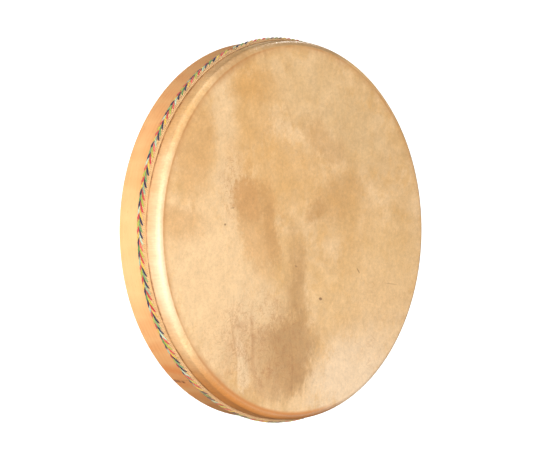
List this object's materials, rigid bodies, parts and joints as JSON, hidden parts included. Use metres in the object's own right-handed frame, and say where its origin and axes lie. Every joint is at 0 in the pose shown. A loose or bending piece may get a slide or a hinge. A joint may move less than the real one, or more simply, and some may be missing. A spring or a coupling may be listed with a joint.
{
  "type": "frame drum",
  "caption": "Shallow hand-held frame drum: skin stretched over a bent wooden hoop, braided trim over its edge, open back.",
  "frame": {"origin": "centre of the open rim's plane, on the drum's axis, with the drum lying on that rim, skin up", "axes": "+Z along the drum's axis, from the open rim to the skin; X and Y across the drum; the lap in the hoop is on the -X side towards -Y, and the trim's join on the -X side towards +Y"},
  "size_m": [0.409, 0.409, 0.06],
  "materials": {
    "hoop_wood": "light steam-bent wood, satin oil",
    "wood_glue": "dried amber hide glue",
    "nail_steel": "dark, slightly rusted",
    "goatskin": "scraped natural goatskin, mottled, satin",
    "tack_brass": "dull",
    "natural_cotton": "undyed twisted cotton",
    "coloured_yarn": "dyed wool yarns in several colours",
    "pin_brass": "polished by handling"
  },
  "bodies": {
    "root": {"shell_hoop": "hoop_wood", "scarf_glue": "wood_glue", "scarf_nails_outer": "nail_steel", "scarf_nails_inner": "nail_steel", "head": "goatskin", "head_tacks": "tack_brass", "trim_tape": "natural_cotton", "trim_yarns": "coloured_yarn", "trim_end_pin": "pin_brass"}
  },
  "joints": []
}
